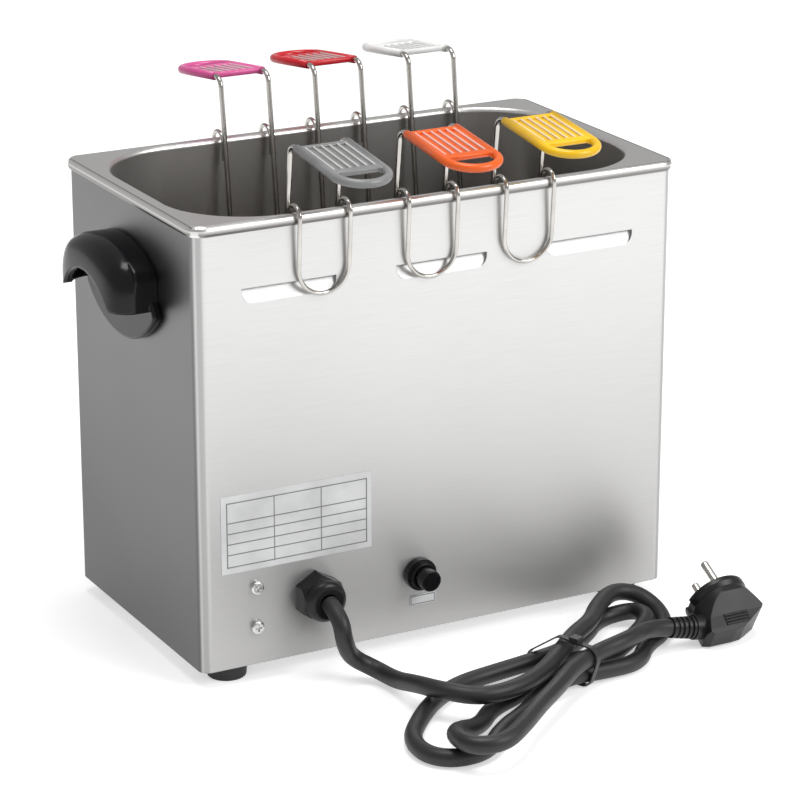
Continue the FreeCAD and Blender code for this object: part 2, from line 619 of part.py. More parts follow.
# Rear screws with the bracket and terminal block that they hold
rear_screws = []
for z in SCREW_Z:
    rear_screws.append(pan_screw(V(SCREW_X, CASE_Y, z), V(0, -1, 0), 3.9, 2.7, 1.95, 7.0))
save("rear_screws", group(rear_screws))
bracket = fused([block(SCREW_X - 14, SCREW_X + 14, 82.0, 84.0, 24, 64),
                 block(SCREW_X - 14, SCREW_X + 14, 50, 82.1, 24, 26)])
for z in SCREW_Z:
    bracket = bracket.cut(along_y(1.95, SCREW_X, z, 70, 90))
save("terminal_bracket", bracket)
terminals = block(SCREW_X - 13, SCREW_X + 13, 53, 70, 26, 42)
for i in range(3):
    x = SCREW_X - 8 + 8 * i
    terminals = terminals.cut([Part.makeCylinder(2.2, 9, V(x, 58, 34)), Part.makeCylinder(2.2, 9, V(x, 65, 34)),
                               along_y(1.8, x, 31, 50, 75)])
save("terminal_block", terminals)
earth = fused([Part.makeCylinder(2.0, 14, V(105, 30, 12)), Part.makeCylinder(4.5, 1.0, V(105, 30, 12)),
               prism([V(105 + 4 * math.cos(math.radians(60 * i)), 30 + 4 * math.sin(math.radians(60 * i)), 13)
                      for i in range(6)], V(0, 0, 3.2))])
save("earth_stud", earth)

# Rating label with plain ruled boxes, and the small frame under the reset button
x0, x1, z0, z1 = LABEL
label = block(x0, x1, CASE_Y, CASE_Y + 0.2, z0, z1)
rules = [block(x0 + 3, x1 - 3.5, 85.1, 85.35, 70.2, 70.5), block(x0 + 3, x1 - 3.5, 85.1, 85.35, 107.7, 108.0),
         block(x0 + 3, x0 + 3.3, 85.1, 85.35, 70.2, 108.0), block(x1 - 3.8, x1 - 3.5, 85.1, 85.35, 70.2, 108.0)]
for i in range(4):
    z = 77.5 + 6.2 * i
    rules.append(block(x0 + 3, x1 - 3.5, 85.1, 85.3, z, z + 0.3))
label = fused([label] + rules)
save("rating_label", label)
save("reset_label", block(3.4, 20.0, CASE_Y, CASE_Y + 0.25, 25.4, 31.6))

# Thermostat: body behind the front face, dial plate, and the knob on its shaft
thermostat = fused([block(KNOB_X - 20, KNOB_X + 20, -78, -52, KNOB_Z - 22, KNOB_Z + 22),
                    along_y(4.9, KNOB_X, KNOB_Z, -85.0, -77.9)])
thermostat = thermostat.cut(along_y(3.3, KNOB_X, KNOB_Z, -90, -70))
save("thermostat_body", thermostat)
save("thermostat_capillary", capillary([V(KNOB_X - 19.8, -62, 78), V(10, -62, 84), V(10, -18, BULB_Z),
                                        V(25, -18, BULB_Z)], 65))
dial = along_y(30.0, KNOB_X, KNOB_Z, -85.6, -85.0).cut(along_y(5.2, KNOB_X, KNOB_Z, -90, -80))
save("dial_plate", dial)
knob = Part.makeCone(KNOB_R, KNOB_R - 2.0, 17.0, V(KNOB_X, -87.0, KNOB_Z), V(0, -1, 0))
knob = knob.makeFillet(1.5, [e for e in knob.Edges if e.BoundBox.YMax < -103.9])
grip_cuts = []
for i in range(24):
    a = math.radians(15 * i)
    on_edge = V(KNOB_X + KNOB_R * math.cos(a), -91.0, KNOB_Z + KNOB_R * math.sin(a))
    grip_cuts.append(Part.makeCylinder(1.5, 13.5, on_edge, V(0, -1, 0)))
knob = knob.cut(grip_cuts)
knob = knob.fuse(block(KNOB_X - 1, KNOB_X + 1, -104.6, -103.5, KNOB_Z + 5, KNOB_Z + 17))
knob = knob.cut(along_y(3.0, KNOB_X, KNOB_Z, -100, -80))
save("thermostat_knob", knob)
save("thermostat_shaft", along_y(3.0, KNOB_X, KNOB_Z, -100, -70.5))

# Mains switch: bezel and housing, and the rocker that tips in it
switch = fused([block(SWITCH_X - 15.5, SWITCH_X + 15.5, -87.0, -85.0, SWITCH_Z - 11.5, SWITCH_Z + 11.5),
                block(SWITCH_X - 13.3, SWITCH_X + 13.3, -85.1, -62.0, SWITCH_Z - 9.3, SWITCH_Z + 9.3)])
switch = switch.cut(block(SWITCH_X - 12.0, SWITCH_X + 12.0, -88, -72, SWITCH_Z - 8.0, SWITCH_Z + 8.0))
pivot = V(SWITCH_X, -81.0, SWITCH_Z)
switch = switch.cut(rod(pivot + V(0, 0, -8.8), pivot + V(0, 0, 8.8), 1.35))
save("switch_body", switch)
rocker = prism([pivot + V(-10.4, -7.0, -7.4), pivot + V(0, -5.0, -7.4), pivot + V(10.4, -7.0, -7.4),
                pivot + V(8, 3.0, -7.4), pivot + V(-8, 3.0, -7.4)], V(0, 0, 14.8))
rocker = rocker.fuse(rod(pivot + V(0, 0, -8.6), pivot + V(0, 0, 8.6), 1.3)).removeSplitter()
rocker.rotate(pivot, V(0, 0, 1), 9.0)
save("switch_rocker", rocker)

# Pilot lamps
for name, x in (("pilot_lamp_power", LAMP_X[0]), ("pilot_lamp_heat", LAMP_X[1])):
    bezel = along_y(6.5, x, KNOB_Z, -86.6, -85.0)
    lens = along_y(4.6, x, KNOB_Z, -89.5, -86.5)
    lens = lens.makeFillet(1.8, [e for e in lens.Edges if e.BoundBox.YMax < -89.4])
    save(name, fused([bezel, lens, along_y(5.0, x, KNOB_Z, -85.1, -58.0)]))

# Heating element under the tank, pressed to its spreader plate
spreader = rounded_block(110.0, 50.0, 12.0, TANK_FLOOR - TANK_SHEET - 2.5, TANK_FLOOR - TANK_SHEET)
save("heat_spreader", spreader)
loops = [V(-60, -32, 70), V(-60, -32, 108.7), V(95, -32, 108.7), V(95, 5, 108.7), V(-95, 5, 108.7),
         V(-95, 38, 108.7), V(80, 38, 108.7), V(80, 38, 70)]
save("heating_element", tube(loops, 4.0, 12.0)[0])

# Wires inside the base
wires = [
    [V(GLAND_X, 66, 45), V(GLAND_X, 56, 45), V(92, 52, 31), V(SCREW_X - 8, 49, 31)],
    [V(SCREW_X, 49, 31), V(100, 30, 40), V(0, -30, 50), V(SWITCH_X, -50, 62), V(SWITCH_X, -61, 62)],
    [V(KNOB_X, -51, 55), V(KNOB_X, -30, 55), V(-40, -36, 60), V(-60, -32, 69)],
    [V(RESET_X + 6, 43, 45), V(30, 36, 45), V(80, 38, 60), V(80, 38, 69)],
]
save("wiring_harness", group([tube(w, 1.6, 6.0)[0] for w in wires]))


# Baskets, drawn for the row at +Y and mirrored for the other row
def leg_point(x, up, out):
    """Point in the basket's own leaning frame: up along the legs, out away from the tank."""
    return V(x, LEG_Y + up * math.sin(LEAN) + out * math.cos(LEAN),
             DECK_Z + up * math.cos(LEAN) - out * math.sin(LEAN))


CAGE_R = 25.0           # centre line of the rings
CAGE_IN = 22.5          # rings' centre inwards of the legs
CAGE_WIRE = 2.2
RING_UP = (-76.6, -107.0)
LEG_LOW = -128.0
GRIP_END = 50.5


def basket_frame():
    """Wire frame: two legs that run under the cage, rings, cross wire and the hook over the rim."""
    pieces = []
    for s in (-1, 1):
        far = -2 * CAGE_IN
        leg = [leg_point(s * LEG_HALF, LEG_TOP, 12.0), leg_point(s * LEG_HALF, LEG_TOP, 0),
               leg_point(s * LEG_HALF, LEG_LOW, 0), leg_point(s * LEG_HALF, LEG_LOW, far),
               leg_point(s * LEG_HALF, RING_UP[0] + 1, far)]
        pieces.append(tube(leg, WIRE / 2, lambda a, b, t: 6.0 if min(a, b) < 20 else 16.0)[0])
    for up in RING_UP:
        centre = leg_point(0, up, -CAGE_IN)
        axis = leg_point(0, 1, 0) - leg_point(0, 0, 0)
        pieces.append(Part.makeTorus(CAGE_R + 1.15, CAGE_WIRE / 2, centre, axis))
    side = CAGE_R + 1.2
    cross = [leg_point(-side, RING_UP[0], -CAGE_IN), leg_point(-side, LEG_LOW + 2.4, -CAGE_IN),
             leg_point(side, LEG_LOW + 2.4, -CAGE_IN), leg_point(side, RING_UP[0], -CAGE_IN)]
    pieces.append(tube(cross, CAGE_WIRE / 2, 16.0)[0])
    hook = []
    for s in (1, -1):
        run = [V(s * LEG_HALF, LEG_Y + 2.75 - 12 * math.sin(LEAN), DECK_Z - 12), V(s * LEG_HALF, 77.2, 269.9),
               V(s * LEG_HALF, 89.9, 269.9), V(s * LEG_HALF, 86.6, 220.0)]
        hook += run if s > 0 else run[::-1]
    pieces.append(tube(hook, 1.25, lambda a, b, t: 6.2 if min(a, b) < 20 else 15.2)[0])
    return fused(pieces)


def grip_plate():
    """Coated grip: U-shaped rim, two cross bars, and between them a web with six raised ribs."""
    rim_points = [leg_point(LEG_HALF, LEG_TOP, 7.5), leg_point(LEG_HALF, LEG_TOP, GRIP_END + LEG_HALF),
                  leg_point(-LEG_HALF, LEG_TOP, GRIP_END + LEG_HALF), leg_point(-LEG_HALF, LEG_TOP, 7.5)]
    parts = [tube(rim_points, 2.4, 15.2)[0]]

    def bar(x0, x1, out0, out1, under, over):
        corners = [leg_point(x0, LEG_TOP + under, out0), leg_point(x1, LEG_TOP + under, out0),
                   leg_point(x1, LEG_TOP + under, out1), leg_point(x0, LEG_TOP + under, out1)]
        way = leg_point(0, over - under, 0) - leg_point(0, 0, 0)
        return prism(corners, way)

    parts.append(bar(-LEG_HALF, LEG_HALF, 8.0, 11.5, -1.6, 1.9))
    parts.append(bar(-LEG_HALF, LEG_HALF, 44.5, 50.0, -1.6, 1.9))
    for i in range(6):
        x = -12.0 + 4.8 * i
        parts.append(bar(x - 0.6, x + 0.6, 10.0, 46.0, 0.3, 1.7))
    parts.append(bar(-14.5, 14.5, 10.0, 46.0, -1.0, 0.7))
    for s in (-1, 1):
        parts.append(bar(s * 14.0 - 2.2, s * 14.0 + 2.2, 11.0, 50.0, -1.6, 1.9))
    grip = fused(parts)
    for s in (-1, 1):
        end = leg_point(s * LEG_HALF, LEG_TOP, 12.0)
        grip = grip.cut(rod(leg_point(s * LEG_HALF, LEG_TOP, 0), end, WIRE / 2))
    return grip


frame = basket_frame()
grip = grip_plate()
print("basket frame solids", len(frame.Solids), "grip solids", len(grip.Solids))
for colour, x in NEAR_X.items():
    for name, shape in (("basket_frame_", frame), ("basket_grip_", grip)):
        placed = shape.copy()
        placed.translate(V(x, 0, 0))
        save(name + colour, placed)
for colour, x in FAR_X.items():
    for name, shape in (("basket_frame_", frame), ("basket_grip_", grip)):
        placed = shape.mirror(V(0, 0, 0), V(0, 1, 0))
        placed.translate(V(x, 0, 0))
        save(name + colour, placed)
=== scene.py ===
"""Table-top egg boiler: finishes, cord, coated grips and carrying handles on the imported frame."""
import json
import math

import bpy
import numpy as np
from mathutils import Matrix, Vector


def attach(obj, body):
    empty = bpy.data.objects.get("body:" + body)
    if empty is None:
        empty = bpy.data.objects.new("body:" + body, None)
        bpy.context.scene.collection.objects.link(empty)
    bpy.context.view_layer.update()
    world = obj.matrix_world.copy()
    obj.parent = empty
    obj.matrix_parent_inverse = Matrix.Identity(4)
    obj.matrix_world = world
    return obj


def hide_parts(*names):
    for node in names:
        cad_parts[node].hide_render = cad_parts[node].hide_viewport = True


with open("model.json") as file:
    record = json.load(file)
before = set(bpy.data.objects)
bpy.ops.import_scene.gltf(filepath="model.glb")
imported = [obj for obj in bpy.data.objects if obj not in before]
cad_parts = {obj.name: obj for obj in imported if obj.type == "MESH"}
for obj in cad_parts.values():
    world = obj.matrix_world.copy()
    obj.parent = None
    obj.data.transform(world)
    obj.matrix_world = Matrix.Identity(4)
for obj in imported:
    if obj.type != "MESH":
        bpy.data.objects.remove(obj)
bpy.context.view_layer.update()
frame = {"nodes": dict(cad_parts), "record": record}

nodes = frame["nodes"]
MM = 0.001

# Driving sizes, in millimetres unless said otherwise
CASE_X = 150.0
CASE_Y = 85.0
DECK_Z = 266.0
KNOB_X = 70.0
KNOB_Z = 62.0

# Baskets: their places along X, and the leaning legs that carry the grips
NEAR_X = {"grey": 74.2, "orange": 7.7, "yellow": -53.5}
FAR_X = {"pink": 40.5, "red": -20.3, "white": -83.0}
LEAN = math.radians(7.0)
LEG_HALF = 15.25
LEG_Y = 74.5
LEG_TOP = 37.3

# Coated grip in a basket's leaning frame: across, up and out; a half is half a width or height
RIM_R = 2.4
RIM_START = 7.6
RIM_BEND = 50.5
BAR_LIFT = 0.15
BAR_HALF = 1.75
CROSS_BARS = ((9.75, 1.75), (47.25, 2.75))
SIDE_BAR_X = 14.0
SIDE_BAR_OUT = (10.0, 51.0)
SIDE_BAR_HALF = 2.2
RIB_COUNT = 6
RIB_FIRST = -12.0
RIB_PITCH = 4.8
RIB_LIFT = 1.0
RIB_OUT = (9.0, 47.0)
RIB_HALVES = (0.60, 0.70)
RIB_SHELLS = range(1 + len(CROSS_BARS), 1 + len(CROSS_BARS) + RIB_COUNT)
WEB_X = 14.5
WEB_OUT = 28.0
WEB_HALVES = (18.5, 0.85)
BAR_END = ((0.0, 0.72), (0.25, 0.90), (0.7, 1.0))
# Strength of the painted highlight laid along the ribs of the coated grips
PAINTED_HIGHLIGHT_LEVEL = 0.6

# Carrying handle: the outline of its hood, the arch cut from the hood's foot, the front's curve
HANDLE_Y = -5.0
HOOD_TOP = 241.5
HOOD_HALF = 42.0
HOOD_FOOT = 207.3
HOOD_DEPTH = 27.0
HOOD_WALL = 4.0
HOLLOW_HALF = HOOD_HALF - HOOD_WALL
HOLLOW_STEP = 0.05
CROWN_R = 74.5
CROWN_Z = HOOD_TOP - CROWN_R
SHOULDER = 9.0
SHOULDER_Y = HOOD_HALF - SHOULDER
SHOULDER_Z = CROWN_Z + math.sqrt((CROWN_R - SHOULDER) ** 2 - SHOULDER_Y ** 2)
ARCH_HALF = 32.0
ARCH_RISE = 18.5
ARCH_CREST = 223.5
ARCH_R = (ARCH_HALF ** 2 + ARCH_RISE ** 2) / (2 * ARCH_RISE)
EDGE_DROP = 13.5
EDGE_RATE = 0.354
EDGE_POWER = 0.734
EDGE_BLEND = 10.5
FOOT_STOP = 0.6
WALL_GAP = 0.2
ROW_POINTS = 40
ROW_POWER = 2.2

# Carrying handle: the crescent plate behind the hood, each layer a depth and an inset
PLATE_HALF = 46.0
PLATE_LOW = 182.3
PLATE_TIP_Z = 203.5
PLATE_TUCK = 10.5
PLATE_EASE = 6.0
PLATE_MIDDLE_Z = 198.0
PLATE_POINTS = 80
PLATE_LAYERS = ((0.05, 0.0), (3.5, 0.0), (4.3, 0.3), (4.8, 0.9), (5.0, 1.6))

CORD_D = 10.0
CORD_ROUTE = [
    (80, 102, 45), (80, 115.5, 41.5), (79.5, 119, 28), (72.5, 113, 15.5),
    (59, 116.5, 7), (55, 134.5, 6), (56, 156, 13), (54.5, 178.5, 18),
    (37, 195.5, 16), (11.5, 194, 16), (-11, 182.5, 16.5), (-31, 167, 18.5),
    (-49.5, 150, 18.2), (-70, 135, 16.5), (-86, 116, 16), (-103.5, 104, 17.5),
    (-118, 107, 15), (-125, 121, 8.5), (-116.5, 143.5, 5), (-94, 156, 5),
    (-78, 175, 5), (-53, 177, 6), (-27.5, 178.5, 8), (-4.5, 189, 6),
    (14.5, 205.5, 6), (36.5, 219, 7), (55, 236.5, 5.5), (75, 236.5, 5),
    (86, 224.5, 5), (84, 203.5, 5), (68, 184, 5), (50, 166.5, 5),
    (27.5, 154, 5.5), (2.5, 150, 5.5), (-23.5, 150, 7.5), (-48, 143, 6.5),
    (-70, 129, 5), (-88.5, 111.5, 5), (-107, 113, 7.5), (-113, 122, 9.5),
    (-108, 136.5, 10), (-88, 147, 5), (-67, 161, 5), (-42, 158, 7.5),
    (-18, 167, 6.5), (3, 180.5, 5), (26.5, 189.5, 5), (44, 207.5, 5),
    (65.5, 218, 12), (74.5, 238, 17), (69, 250, 16.5), (54, 253.5, 17.5),
    (34.5, 239.5, 18.5), (15, 221.5, 17.5), (-6, 205.5, 17.5), (-26, 189, 18.5),
    (-48.5, 176.5, 17.5), (-74, 172, 19.5), (-94.5, 157.6, 15.9), (-108.7, 158.4, 13.6),
]

# Printed rulings as (x, z), in millimetres: the rating table, and the frame under the button
TABLE_AT = (90.75, 89.1)
TABLE_HALVES = (43.4, 19.1)
TABLE_ROWS = (70.4, 77.6, 83.8, 90.0, 96.2, 107.8)
TABLE_COLUMNS = (47.7, 76.0, 105.0, 133.8)
TABLE_RULE = 0.35
FRAME_AT = (11.7, 28.5)
FRAME_HALVES = (7.6, 2.4)
FRAME_RULE = 0.3

# Scale marks of the dial: the step between them, and where and how large each one is
DIAL_STEP = math.radians(25)
DIAL_MARK_HALF = 0.4
DIAL_MARK_R = 25.5
DIAL_MARK_REACH = 2.2

# Painted shade laid over the steel, in place of shade in recesses and of reflections of surroundings
# that aren't built: colour and amount
LOW_SHADE = ((0.36, 0.355, 0.35), 0.60)
END_SHADE = ((0.14, 0.14, 0.143), 0.88)
END_LOW_SHADE = ((0.09, 0.09, 0.09), 0.55)
CORNER_SHADE = ((0.24, 0.24, 0.24), 0.45)
SLOT_SHADE = ((0.40, 0.40, 0.40), 0.60)
WELL_SHADE = ((0.17, 0.155, 0.14), 0.72)
UNDER_SHADE = ((0.13, 0.125, 0.12), 0.85)
CREASE_SHADE = ((0.12, 0.12, 0.12), 0.7)

# Where those shades lie: each span goes from none of the shade to all of it
LOW_SPAN = (250.0, 20.0)
END_SPAN = (CASE_X - 1.2, CASE_X - 0.2)
CORNER_INNER = (CASE_X - 5.0, CASE_X - 3.6)
CORNER_OUTER = (CASE_X - 1.0, CASE_X - 2.2)
SLOT_DEPTH = (CASE_Y - 0.1, CASE_Y - 0.9)
SLOT_DEEPEST = CASE_Y - 8.0
SLOT_LOWER = (215.0, 217.5)
SLOT_UPPER = (230.0, 229.0)
SLOT_ENDS = (130.0, 129.0)
WELL_SPAN = (262.0, 190.0)
RIM_OVERHANG = (0.4, 1.2)
UNDER_SPAN = (264.5, 261.5)
CREASE_OUT = 0.2
CREASE_HALF = 0.45
CREASE_LOW = 265.2

# Most of a noise pattern's values lie in this range
NOISE_RANGE = (0.3, 0.7)

# Stage, in metres
FLOOR_HALF = 8.0
FLOOR_GLOW = 0.5
WORLD_GLOW = 0.45
LAMPS = (("key", (-1.2, 1.7, 1.6), 1.3, 30.0), ("top", (0.1, 0.1, 2.2), 1.0, 22.0))
LAMP_AIM = (0.0, 0.0, 0.15)
CAMERA_LENS = 145.10
CAMERA_AT = (0.8314, 1.5750, 0.7314)
CAMERA_AIM = (-0.0196, 0.0, 0.11726)


# Finishes

class Finish:
    """One procedural material: a Principled shader with patterns on Object coordinates."""

    def __init__(self, name, colour, roughness, metallic=0.0, edge=0.0, **constants):
        self.name = name
        self.material = bpy.data.materials.new(name)
        self.material.use_nodes = True
        self.tree = self.material.node_tree
        self.shader = self.tree.nodes["Principled BSDF"]
        self.colour = colour
        self.roughness = roughness
        self.socket("Base Color").default_value = (*colour, 1.0)
        self.socket("Roughness").default_value = roughness
        self.socket("Metallic").default_value = metallic
        for key, value in constants.items():
            self.socket(key.replace("_", " ")).default_value = value
        self.where = self.node("ShaderNodeTexCoord").outputs["Object"]
        self.normal = None
        if edge:
            round_edge = self.node("ShaderNodeBevel", samples=6)
            round_edge.inputs["Radius"].default_value = edge * MM
            self.normal = round_edge.outputs["Normal"]
            self.link(self.normal, self.socket("Normal"))

    def socket(self, name):
        """One input of the shader."""
        return self.shader.inputs[name]

    def node(self, kind, **values):
        """A new node with its properties set."""
        made = self.tree.nodes.new(kind)
        for key, value in values.items():
            setattr(made, key, value)
        return made

    def link(self, source, target):
        """Join an output to an input."""
        self.tree.links.new(source, target)

    def math(self, operation, a, b=0.0, c=0.0):
        """One arithmetic step on sockets or plain numbers."""
        made = self.node("ShaderNodeMath", operation=operation)
        for i, value in enumerate((a, b, c)):
            if isinstance(value, (int, float)):
                made.inputs[i].default_value = value
            else:
                self.link(value, made.inputs[i])
        return made.outputs[0]

    def fold(self, operation, patterns):
        """Join patterns one after another by the same operation."""
        result, *others = patterns
        for other in others:
            result = self.math(operation, result, other)
        return result

    def axis(self, letter):
        """One Object coordinate, in metres."""
        made = self.node("ShaderNodeSeparateXYZ")
        self.link(self.where, made.inputs[0])
        return made.outputs[letter]

    def away(self, value, place):
        """Distance of a coordinate from a place in millimetres, itself in metres."""
        return self.math("ABSOLUTE", self.math("SUBTRACT", value, place * MM))

    def within(self, value, place, half):
        """1 where a coordinate lies within half a width of a place, 0 elsewhere."""
        return self.math("LESS_THAN", self.away(value, place), half * MM)

    def ramp(self, value, start, end):
        """Smooth step from 0 to 1 as a coordinate goes from start to end, in millimetres."""
        made = self.node("ShaderNodeMapRange", interpolation_type="SMOOTHSTEP")
        for i, number in enumerate((start * MM, end * MM, 0.0, 1.0), 1):
            made.inputs[i].default_value = number
        self.link(value, made.inputs[0])
        return made.outputs[0]

    def noise(self, scale, detail, rough, stretch=(1, 1, 1)):
        """Noise per metre, squeezed by stretch along each axis."""
        place = self.node("ShaderNodeMapping")
        place.inputs["Scale"].default_value = stretch
        self.link(self.where, place.inputs["Vector"])
        made = self.node("ShaderNodeTexNoise")
        made.inputs["Scale"].default_value = scale
        made.inputs["Detail"].default_value = detail
        made.inputs["Roughness"].default_value = rough
        self.link(place.outputs[0], made.inputs["Vector"])
        return made.outputs["Fac"]

    def spread(self, value, low, high):
        """Map the range where most noise lies on to low to high."""
        made = self.node("ShaderNodeMapRange")
        for i, number in enumerate((*NOISE_RANGE, low, high), 1):
            made.inputs[i].default_value = number
        self.link(value, made.inputs[0])
        return made.outputs[0]

    def tint(self, value, dark, light):
        """Colour the surface between two shades of its own colour by a pattern."""
        made = self.node("ShaderNodeMix", data_type="RGBA")
        made.inputs["A"].default_value = (*[c * dark for c in self.colour], 1.0)
        made.inputs["B"].default_value = (*[min(1.0, c * light) for c in self.colour], 1.0)
        self.link(value, made.inputs["Factor"])
        self.link(made.outputs["Result"], self.socket("Base Color"))

    def blotch(self, value, other, amount=1.0):
        """Lay another colour over what drives the base colour, by a pattern."""
        made = self.node("ShaderNodeMix", data_type="RGBA")
        base = self.socket("Base Color")
        self.link(base.links[0].from_socket, made.inputs["A"])
        made.inputs["B"].default_value = (*other, 1.0)
        self.link(self.math("MULTIPLY", value, amount), made.inputs["Factor"])
        self.link(made.outputs["Result"], base)

    def vary_roughness(self, value, by):
        """Raise and lower the roughness by a pattern."""
        varied = self.spread(value, self.roughness - by, self.roughness + by)
        self.link(varied, self.socket("Roughness"))

    def relief(self, value, depth, strength):
        """Add one layer of bump, its depth in millimetres."""
        made = self.node("ShaderNodeBump")
        made.inputs["Strength"].default_value = strength
        made.inputs["Distance"].default_value = depth * MM
        self.link(value, made.inputs["Height"])
        if self.normal is not None:
            self.link(self.normal, made.inputs["Normal"])
        self.normal = made.outputs["Normal"]
        self.link(self.normal, self.socket("Normal"))


def brushed(name, colour, roughness, anisotropy, lines, edge):
    """Steel brushed along X: fine long lines and faint smears."""
    made = Finish(name, colour, roughness, metallic=1.0, edge=edge, Anisotropic=anisotropy,
                  Anisotropic_Rotation=0.25)
    tangent = made.node("ShaderNodeTangent", direction_type="RADIAL", axis="Z")
    made.link(tangent.outputs[0], made.socket("Tangent"))
    hair = made.noise(3200, 2.0, 0.6, stretch=(0.010, 1.0, 1.0))
    cloud = made.noise(9, 1.0, 0.5)
    made.tint(made.spread(hair, 0, 1), 1 - 0.07 * lines, 1.05)
    made.vary_roughness(cloud, 0.03)
    made.relief(hair, 0.004 * lines, 0.25)
    return made


def moulded(name, colour, roughness, grain=900, depth=0.02, edge=0.5, **constants):
    """Moulded plastic or rubber: fine grain, slight clouding of the gloss."""
    made = Finish(name, colour, roughness, edge=edge, **constants)
    fine = made.noise(grain, 3.0, 0.6)
    cloud = made.noise(35, 3.0, 0.5)
    made.tint(made.spread(cloud, 0, 1), 0.88, 1.15)
    made.vary_roughness(cloud, min(0.06, roughness * 0.35))
    made.relief(fine, depth, 0.4)
    return made


def turned(name, colour, roughness, scale=600, edge=0.25):
    """Machined or plated metal with fine marks and a little tarnish."""
    made = Finish(name, colour, roughness, metallic=1.0, edge=edge)
    marks = made.noise(scale, 3.0, 0.6)
    cloud = made.noise(60, 3.0, 0.5)
    made.tint(made.spread(cloud, 0, 1), 0.86, 1.05)
    made.vary_roughness(marks, min(0.08, roughness * 0.4))
    made.relief(marks, 0.006, 0.3)
    return made


def casing_finish():
    """Casing sheet with painted shade: dark ends, a darker strip beside each upright corner, a
    dimmer lower part, and grey in the rear air slots.
    """
    made = brushed("casing_steel", (0.66, 0.66, 0.655), 0.40, anisotropy=0.55, lines=0.6, edge=0.8)
    sideways = made.math("ABSOLUTE", made.axis("X"))
    depth = made.axis("Y")
    height = made.axis("Z")
    low = made.ramp(height, *LOW_SPAN)
    made.blotch(low, *LOW_SHADE)
    end = made.ramp(sideways, *END_SPAN)
    made.blotch(end, *END_SHADE)
    made.blotch(made.math("MULTIPLY", end, low), *END_LOW_SHADE)
    corner = made.math("MULTIPLY", made.ramp(sideways, *CORNER_INNER),
                       made.ramp(sideways, *CORNER_OUTER))
    made.blotch(corner, *CORNER_SHADE)
    slot = made.fold("MULTIPLY", (
        made.ramp(depth, *SLOT_DEPTH), made.math("GREATER_THAN", depth, SLOT_DEEPEST * MM),
        made.ramp(height, *SLOT_LOWER), made.ramp(height, *SLOT_UPPER),
        made.ramp(sideways, *SLOT_ENDS)))
    made.blotch(slot, *SLOT_SHADE)
    return made


def tank_finish():
    """Tank sheet: satin deck, with painted shade darker down in the well, under the rolled rim and
    in a dark line along the rim's top edge.
    """
    made = brushed("tank_steel", (0.72, 0.71, 0.695), 0.31, anisotropy=0.1, lines=0.12, edge=0)
    x = made.math("ABSOLUTE", made.axis("X"))
    y = made.math("ABSOLUTE", made.axis("Y"))
    z = made.axis("Z")
    made.blotch(made.ramp(z, *WELL_SPAN), *WELL_SHADE)
    start, end = RIM_OVERHANG
    outside = made.math("MAXIMUM", made.ramp(x, CASE_X + start, CASE_X + end),
                        made.ramp(y, CASE_Y + start, CASE_Y + end))
    made.blotch(made.math("MULTIPLY", outside, made.ramp(z, *UNDER_SPAN)), *UNDER_SHADE)
    crease = made.math("MAXIMUM", made.within(x, CASE_X + CREASE_OUT, CREASE_HALF),
                       made.within(y, CASE_Y + CREASE_OUT, CREASE_HALF))
    above = made.math("GREATER_THAN", z, CREASE_LOW * MM)
    made.blotch(made.math("MULTIPLY", crease, above), *CREASE_SHADE)
    return made


def grip_finish(name, colour):
    """Glossy dipped coating, with a painted highlight: paler where the piece's own attribute says
    so.
    """
    made = moulded(name, colour, 0.28, grain=700, depth=0.01)
    painted_highlight = made.node("ShaderNodeAttribute", attribute_type="GEOMETRY", attribute_name="painted_highlight")
    # Painted highlight: the ribs are laid paler in place of the gloss highlights along them
    made.blotch(painted_highlight.outputs["Fac"], (0.85, 0.84, 0.82))
    return made


def label_finish():
    """Blank label film: a ruled table with empty fields, and an empty frame."""
    made = moulded("label_film", (0.70, 0.705, 0.71), 0.4, grain=600, depth=0.004)
    x = made.axis("X")
    z = made.axis("Z")
    rules = [made.within(z, place, TABLE_RULE) for place in TABLE_ROWS]
    rules += [made.within(x, place, TABLE_RULE) for place in TABLE_COLUMNS]
    table = made.fold("MULTIPLY", (
        made.fold("MAXIMUM", rules), made.within(x, TABLE_AT[0], TABLE_HALVES[0]),
        made.within(z, TABLE_AT[1], TABLE_HALVES[1])))
    off_x = made.away(x, FRAME_AT[0])
    off_z = made.away(z, FRAME_AT[1])
    border = made.math("MAXIMUM", made.within(off_x, FRAME_HALVES[0], FRAME_RULE),
                       made.within(off_z, FRAME_HALVES[1], FRAME_RULE))
    small = made.fold("MULTIPLY", (
        border, made.within(off_x, 0.0, FRAME_HALVES[0] + FRAME_RULE),
        made.within(off_z, 0.0, FRAME_HALVES[1] + FRAME_RULE)))
    made.blotch(made.math("MAXIMUM", table, small), (0.05, 0.05, 0.055), 0.7)
    return made


def dial_finish():
    """Metal dial plate with plain scale marks all round, DIAL_STEP apart."""
    made = turned("dial_metal", (0.70, 0.70, 0.70), 0.35)
    dx = made.math("SUBTRACT", made.axis("X"), KNOB_X * MM)
    dz = made.math("SUBTRACT", made.axis("Z"), KNOB_Z * MM)
    radius = made.math("SQRT", made.math("ADD", made.math("MULTIPLY", dx, dx),
                                         made.math("MULTIPLY", dz, dz)))
    turn = made.math("WRAP", made.math("ARCTAN2", dz, dx), DIAL_STEP / 2, -DIAL_STEP / 2)
    beside = made.within(made.math("MULTIPLY", turn, radius), 0.0, DIAL_MARK_HALF)
    marks = made.math("MULTIPLY", beside, made.within(radius, DIAL_MARK_R, DIAL_MARK_REACH))
    made.blotch(marks, (0.02, 0.02, 0.02), 0.95)
    return made


